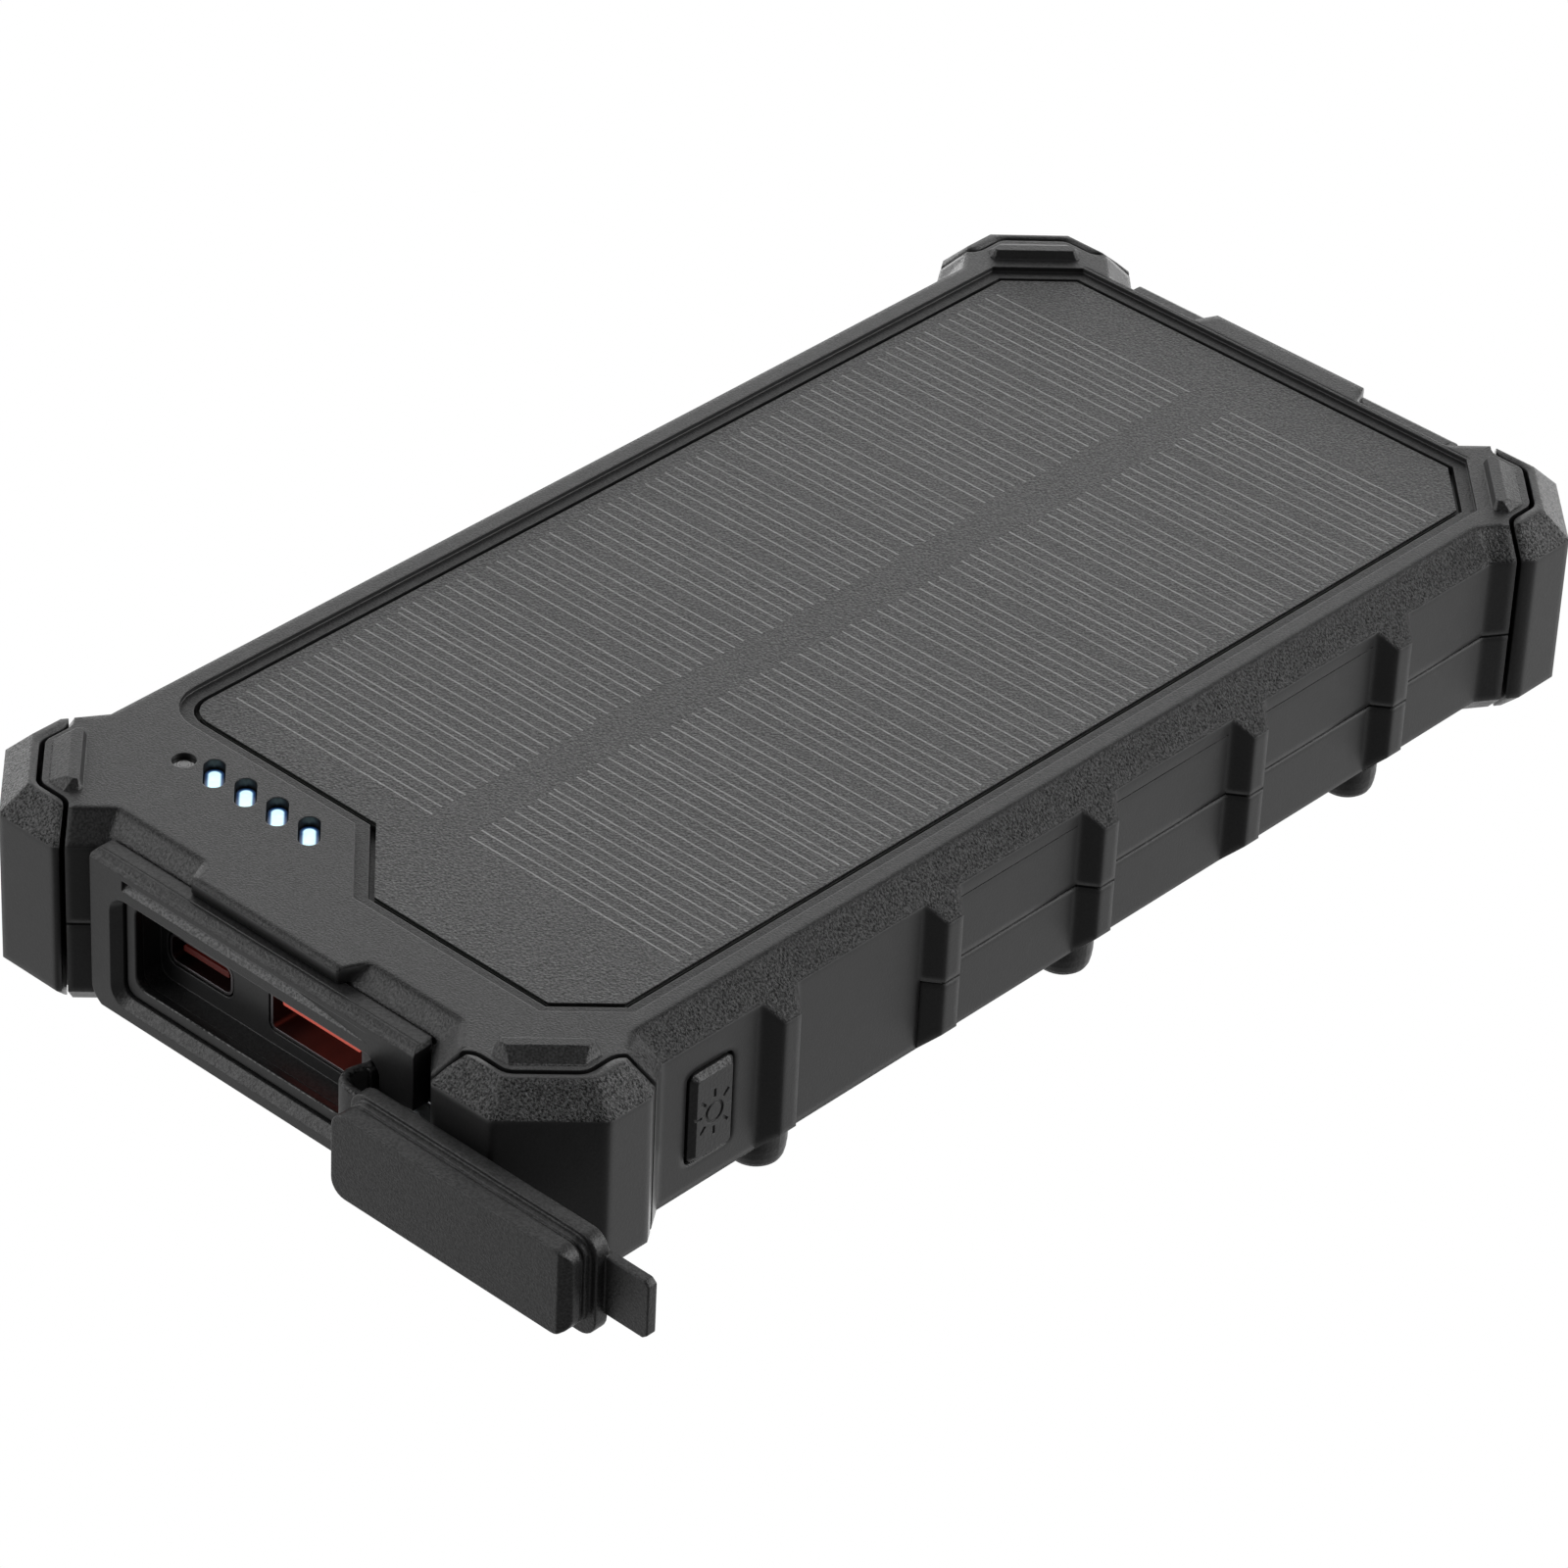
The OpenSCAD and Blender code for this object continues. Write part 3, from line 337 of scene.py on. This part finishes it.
def light_bar():
    """Translucent bars lit from below: bright cyan-white middle and a blue rim."""
    m = Mat("light_bar")
    nrm, edge = m.edge(0.25, 6)
    k = m.math("ROUND", m.math("DIVIDE", m.math("ADD", m.x, 22.2), 4.6))
    dx = m.math("SUBTRACT", m.x, m.math("SUBTRACT", m.math("MULTIPLY", k, 4.6), 22.2))
    dy = m.math("ADD", m.y, 64.4)
    along = m.math("MULTIPLY", m.math("SUBTRACT", dx, dy), 0.7071)
    across = m.math("MULTIPLY", m.math("ADD", dx, dy), 0.7071)
    over = m.math("MAXIMUM", m.math("SUBTRACT", m.math("ABSOLUTE", along), 1.3), 0.0)
    d = m.math("SQRT", m.math("ADD", m.math("POWER", over, 2.0), m.math("POWER", across, 2.0)))
    core = m.step(d, 0.82, 0.5)
    halo = m.step(d, 1.1, 0.75)
    c = m.mixc(halo, (0.003, 0.008, 0.02, 1), (0.02, 0.13, 0.42, 1))
    c = m.mixc(core, c, (0.62, 0.92, 1.0, 1))
    grain = m.noise(1.6, 2.0)
    s = m.math("ADD", m.math("MULTIPLY", core, 0.95), m.math("MULTIPLY", halo, 0.35))
    s = m.math("MULTIPLY", s, m.step(grain, 0.2, 0.8, 0.92, 1.08))
    return m.bsdf((0.02, 0.03, 0.05, 1), 0.25, m.bump(grain, 0.01, 0.5, nrm), emit=c, emit_strength=s)


def lens_glass(name, tint=(0.93, 0.96, 0.97)):
    m = Mat(name)
    n = m.noise(0.8, 2.0)
    return m.bsdf((*tint, 1), m.step(n, 0.2, 0.8, 0.03, 0.09), m.bump(n, 0.01, 0.3), spec=0.5, trans=0.85, ior=1.5, coat=0.3)


def dark_window():
    m = Mat("window")
    nrm, edge = m.edge(0.15, 4)
    dx, dy = m.math("ADD", m.x, 26.0), m.math("ADD", m.y, 65.0)
    d = m.math("SQRT", m.math("ADD", m.math("POWER", dx, 2.0), m.math("POWER", dy, 2.0)))
    ring = m.math("MULTIPLY", m.step(d, 0.45, 0.55), m.step(d, 0.8, 0.7))
    n = m.noise(2.0, 2.0)
    c = m.mixc(ring, rgb(0.004), rgb(0.05))
    return m.bsdf(c, m.step(n, 0.2, 0.8, 0.08, 0.2), m.bump(ring, 0.08, 0.6, nrm), spec=0.6, coat=0.6)


FILM = solar_film()
STEEL = metal("port_shell_steel", (0.16, 0.15, 0.155), 0.34)
SCREW = metal("screw_steel", (0.62, 0.62, 0.64), 0.32)
CHROME = metal("reflector", (0.82, 0.82, 0.84), 0.12, brushed=False)
GOLD = metal("contact_gold", (0.95, 0.85, 0.62), 0.25)
FOIL = metal("cell_foil", (0.72, 0.72, 0.74), 0.38)
NICKEL = metal("tab_nickel", (0.70, 0.69, 0.66), 0.3)
# painted glow: the two USB tongues get a weak emission in their own colour, though they are no lamps
CORAL = plain("coral_insert", (0.60, 0.10, 0.07), 0.45, (0.01, 2.0), 0.12, emit=0.35)
WINE = plain("dark_red_insert", (0.10, 0.008, 0.004), 0.45, (0.01, 2.0), 0.12, emit=0.08)
BOARD = plain("circuit_board", (0.02, 0.16, 0.06), 0.35, (0.012, 1.2), 0.1, coat=0.3)
FIBRE = plain("fibreboard", (0.020, 0.021, 0.020), 0.5, (0.02, 2.5), 0.1)
SILICON = plain("silicon", (0.02, 0.025, 0.05), 0.2, (0.004, 2.0), 0.05, coat=0.5)
TAPE = plain("tape", (0.65, 0.65, 0.62), 0.7)
WIRE = plain("wire_red", (0.5, 0.03, 0.02), 0.35, (0.01, 2.0), 0.1)
FOAM = plain("foam", (0.03, 0.03, 0.032), 0.9, (0.05, 2.0), 0.2)
PHOSPHOR = plain("lamp_die", (0.85, 0.75, 0.30), 0.35, (0.01, 3.0), 0.1)
PLUNGER = plain("plunger", (0.40, 0.06, 0.04), 0.4)
CAN = metal("capacitor_can", (0.74, 0.74, 0.76), 0.3)
CLEAR = lens_glass("torch_lens")
LIT = light_bar()
WINDOW = dark_window()

LOOK = {
    "upper_housing": SHELL, "lower_housing": SHELL, "bumper_front_right": BUMPER, "bumper_front_left": BUMPER,
    "bumper_rear_right": BUMPER, "bumper_rear_left": BUMPER, "port_bezel": BEZEL, "port_ring": INSERT,
    "rear_bezel": BEZEL, "port_cover": RUBBER, "cover_strap_anchor": RUBBER, "light_button": BUTTON,
    "button_seal": RUBBER, "tact_switch": BLACK, "switch_plunger": PLUNGER, "torch_lens": CLEAR,
    "torch_reflector": CHROME, "torch_diode": PHOSPHOR, "solar_cover_sheet": FILM, "solar_cells": SILICON,
    "solar_backing": FIBRE, "panel_adhesive": TAPE, "panel_leads": WIRE, "light_guide": LIT,
    "status_window": WINDOW, "indicator_board": BOARD, "indicator_diodes": PHOSPHOR, "rubber_feet": FOOT,
    "housing_seal": RUBBER, "battery_cell_lower": FOIL, "battery_cell_upper": FOIL, "cell_pad": FOAM,
    "cell_tabs": NICKEL, "protection_board": BOARD, "battery_leads": WIRE, "main_board": BOARD,
    "usb_a_shell": STEEL, "usb_a_tongue": CORAL, "usb_a_contacts": GOLD, "usb_c_shell": STEEL,
    "usb_c_tongue": WINE, "power_inductor": BLACK, "controller_chips": BLACK, "capacitors": CAN,
    "housing_screws": SCREW, "board_screws": SCREW,
}
for name, o in nodes.items():
    mat = LOOK[name]
    o.data.materials.clear()
    o.data.materials.append(mat)

# Real rounded edges on the moulded pieces: coplanar triangles are joined first, so that only true edges are rounded
ROUND = {
    "upper_housing": 0.16, "lower_housing": 0.16, "bumper_front_right": 0.55, "bumper_front_left": 0.55,
    "bumper_rear_right": 0.55, "bumper_rear_left": 0.55, "port_bezel": 0.12, "port_ring": 0.2, "rear_bezel": 0.12,
    "port_cover": 0.28, "cover_strap_anchor": 0.2, "light_button": 0.12,
}


def soften(o, width, segments=2):
    w = o.modifiers.new("join", "WELD")
    w.merge_threshold = 2e-6
    d = o.modifiers.new("planes", "DECIMATE")
    d.decimate_type = "DISSOLVE"
    d.angle_limit = math.radians(0.6)
    b = o.modifiers.new("round", "BEVEL")
    b.width = width * MM
    b.segments = segments
    b.limit_method = "ANGLE"
    b.angle_limit = math.radians(24)
    b.use_clamp_overlap = True
    b.harden_normals = False
    b.miter_outer = "MITER_ARC"
    n = o.modifiers.new("shade", "WEIGHTED_NORMAL")
    n.keep_sharp = False
    n.weight = 60


for name, width in ROUND.items():
    soften(nodes[name], width)


# ---------------------------------------------------------------- the flexible strap of the port cover
def ribbon(name, path, z0, z1, thick, mat, steps=10):
    """A soft strap standing on edge: a smooth path in plan, swept with rounded top and bottom edges."""
    pts = []
    n = len(path)
    for i in range(n - 1):
        p0, p1, p2, p3 = (Vector(path[max(0, min(n - 1, i + d))]) for d in (-1, 0, 1, 2))
        for s in range(steps):
            t = s / steps
            pts.append(0.5 * ((2 * p1) + (p2 - p0) * t + (2 * p0 - 5 * p1 + 4 * p2 - p3) * t * t + (3 * p1 - p0 - 3 * p2 + p3) * t ** 3))
    pts.append(Vector(path[-1]))
    bm = bmesh.new()
    r = thick / 2
    ring = [(r * math.cos(a), r * 0.8 * math.sin(a)) for a in [math.pi * i / 6 for i in range(7)]]
    section = [(x, z1 - r * 0.8 + dz) for x, dz in ring] + [(-x, z0 + r * 0.8 - dz) for x, dz in ring]
    rows = []
    for i, p in enumerate(pts):
        a = pts[max(0, i - 1)]
        b = pts[min(len(pts) - 1, i + 1)]
        d = (b - a).normalized()
        side = Vector((-d.y, d.x))
        rows.append([bm.verts.new(((p.x + side.x * u) * MM, (p.y + side.y * u) * MM, (w - DROP) * MM)) for u, w in section])
    m = len(section)
    for a, b in zip(rows, rows[1:]):
        for j in range(m):
            bm.faces.new((a[j], a[(j + 1) % m], b[(j + 1) % m], b[j]))
    bm.faces.new(rows[0][::-1])
    bm.faces.new(rows[-1])
    bmesh.ops.recalc_face_normals(bm, faces=bm.faces)
    me = bpy.data.meshes.new(name)
    bm.to_mesh(me)
    bm.free()
    for f in me.polygons:
        f.use_smooth = True
    o = bpy.data.objects.new(name, me)
    scene.collection.objects.link(o)
    me.materials.append(mat)
    return o


STRAP = moulded("strap_rubber", 0.024, top=(0.05, 2.2), bev=(0.05, 2.2), wall=(0.045, 2.2), rough=(0.66, 0.62, 0.60), radius=0.2)
strap = ribbon("cover_strap", [(16.55, -79.9), (16.1, -81.0), (15.9, -82.3), (16.5, -83.5), (17.8, -84.0), (19.7, -84.0)], 9.3, 17.9, 1.1, STRAP)
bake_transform(strap)

# ---------------------------------------------------------------- stage, light and camera
# Surroundings as seen by the object: soft boxes at both sides, a white table below, dark overhead and dark towards the camera
world = bpy.data.worlds.new("studio")
scene.world = world
world.use_nodes = True
wt = world.node_tree
wt.nodes.clear()
wo = wt.nodes.new("ShaderNodeOutputWorld")
tcw = wt.nodes.new("ShaderNodeTexCoord")


def wmath(op, a, b=None, c=None, clamp=False):
    n = wt.nodes.new("ShaderNodeMath")
    n.operation = op
    n.use_clamp = clamp
    for i, v in enumerate((a, b, c)):
        if isinstance(v, bpy.types.NodeSocket):
            wt.links.new(v, n.inputs[i])
        elif v is not None:
            n.inputs[i].default_value = v
    return n.outputs[0]


def wdot(v):
    n = wt.nodes.new("ShaderNodeVectorMath")
    n.operation = "DOT_PRODUCT"
    wt.links.new(tcw.outputs["Generated"], n.inputs[0])
    n.inputs[1].default_value = v
    return n.outputs["Value"]


def wstep(v, lo, hi, out_lo, out_hi):
    n = wt.nodes.new("ShaderNodeMapRange")
    n.interpolation_type = "SMOOTHSTEP"
    wt.links.new(v, n.inputs["Value"])
    for k, x in (("From Min", lo), ("From Max", hi), ("To Min", out_lo), ("To Max", out_hi)):
        n.inputs[k].default_value = x
    return n.outputs["Result"]


z = wdot((0, 0, 1))
toward = wdot((0.663, -0.748, 0))
level = wmath("ADD", wstep(z, -0.12, 0.12, BELOW, AROUND), wmath("MULTIPLY", wmath("MAXIMUM", wmath("MULTIPLY", toward, -1.0), 0.0), BACK))
# a bright strip low at the far side, which draws a light line on edges that lean away from the camera
level = wmath("ADD", level, wmath("MULTIPLY", wstep(toward, -0.60, -0.88, 0.0, 0.9), wstep(z, 0.40, 0.15, 0.0, 1.0)))
lobe_l = wmath("MULTIPLY", wmath("POWER", wmath("MAXIMUM", wdot((-0.544, -0.571, 0.614)), 0.0), 7.0), LOBE_L)
lobe_r = wmath("MULTIPLY", wmath("POWER", wmath("MAXIMUM", wdot((0.585, 0.624, 0.518)), 0.0), 15.0), LOBE_R)
level = wmath("ADD", level, wmath("ADD", lobe_l, lobe_r))
level = wmath("MULTIPLY", level, wstep(z, 0.57, 0.79, 1.0, OVERHEAD))
level = wmath("MULTIPLY", level, wstep(toward, 0.25, 0.72, 1.0, 0.26))
bg1 = wt.nodes.new("ShaderNodeBackground")
wt.links.new(level, bg1.inputs["Strength"])
bg2 = wt.nodes.new("ShaderNodeBackground")
bg2.inputs["Strength"].default_value = 1.0
bg2.inputs["Color"].default_value = (1, 1, 1, 1)
lpw = wt.nodes.new("ShaderNodeLightPath")
mw = wt.nodes.new("ShaderNodeMixShader")
wt.links.new(lpw.outputs["Is Camera Ray"], mw.inputs[0])
wt.links.new(bg1.outputs[0], mw.inputs[1])
wt.links.new(bg2.outputs[0], mw.inputs[2])
wt.links.new(mw.outputs[0], wo.inputs[0])


def area(name, pos, target, size, power):
    la = bpy.data.lights.new(name, "AREA")
    la.shape = "RECTANGLE"
    la.size, la.size_y = size
    la.energy = power
    o = bpy.data.objects.new(name, la)
    o.location = pos
    o.rotation_mode = "QUATERNION"
    o.rotation_quaternion = (Vector(target) - Vector(pos)).to_track_quat("-Z", "Y")
    scene.collection.objects.link(o)
    return o


area("rim_back", (-0.56, 0.50, 0.56), (-0.03, -0.06, 0), (0.5, 0.5), 0.45)

# A plain pale table, pure white to the camera, that leaves the underside open when it is looked at from below
fm = bpy.data.meshes.new("floor")
q = 1.5
fm.from_pydata([(-q, -q, 0), (q, -q, 0), (q, q, 0), (-q, q, 0)], [], [(0, 1, 2, 3)])
floor = bpy.data.objects.new("floor", fm)
floor.location = (0, 0, -DROP * MM - 0.0003)
scene.collection.objects.link(floor)
table = bpy.data.materials.new("table")
table.use_nodes = True
tt = table.node_tree
tt.nodes.clear()
t_out = tt.nodes.new("ShaderNodeOutputMaterial")
t_mix = tt.nodes.new("ShaderNodeMixShader")
t_emit = tt.nodes.new("ShaderNodeEmission")
t_emit.inputs["Color"].default_value = (1, 1, 1, 1)
t_clear = tt.nodes.new("ShaderNodeBsdfTransparent")
t_geo = tt.nodes.new("ShaderNodeNewGeometry")
tt.links.new(t_geo.outputs["Backfacing"], t_mix.inputs[0])
tt.links.new(t_emit.outputs[0], t_mix.inputs[1])
tt.links.new(t_clear.outputs[0], t_mix.inputs[2])
tt.links.new(t_mix.outputs[0], t_out.inputs[0])
fm.materials.append(table)
floor.visible_diffuse = floor.visible_glossy = floor.visible_transmission = floor.visible_shadow = False

# Camera at the photograph's viewing angle
AZ, EL, ROLL = (math.radians(v) for v in (41.5487, 34.8355, -2.7908))
back = Vector((math.sin(AZ) * math.cos(EL), -math.cos(AZ) * math.cos(EL), math.sin(EL)))
right = Vector((math.cos(AZ), math.sin(AZ), 0))
up = back.cross(right)
c, s = math.cos(ROLL), math.sin(ROLL)
cam_x = c * right - s * up
cam_y = s * right + c * up
cam = bpy.data.cameras.new("camera")
cam.sensor_width = 36.0
cam.lens = 36.0 * 7185.19 / 1600.0
cam.clip_start, cam.clip_end = 0.01, 20
cam_o = bpy.data.objects.new("camera", cam)
scene.collection.objects.link(cam_o)
rot = Matrix((cam_x, cam_y, back)).transposed()
place = rot @ Vector((-0.139544, -0.526182, 21.0612)) * 35.0 + Vector((0, 2.9, 25.0 - DROP))
cam_o.matrix_world = Matrix.Translation(place * MM) @ rot.to_4x4()
scene.camera = cam_o

scene.view_settings.view_transform = "Standard"
scene.view_settings.look = "None"
scene.view_settings.exposure = 0.0
scene.view_settings.gamma = 1.0
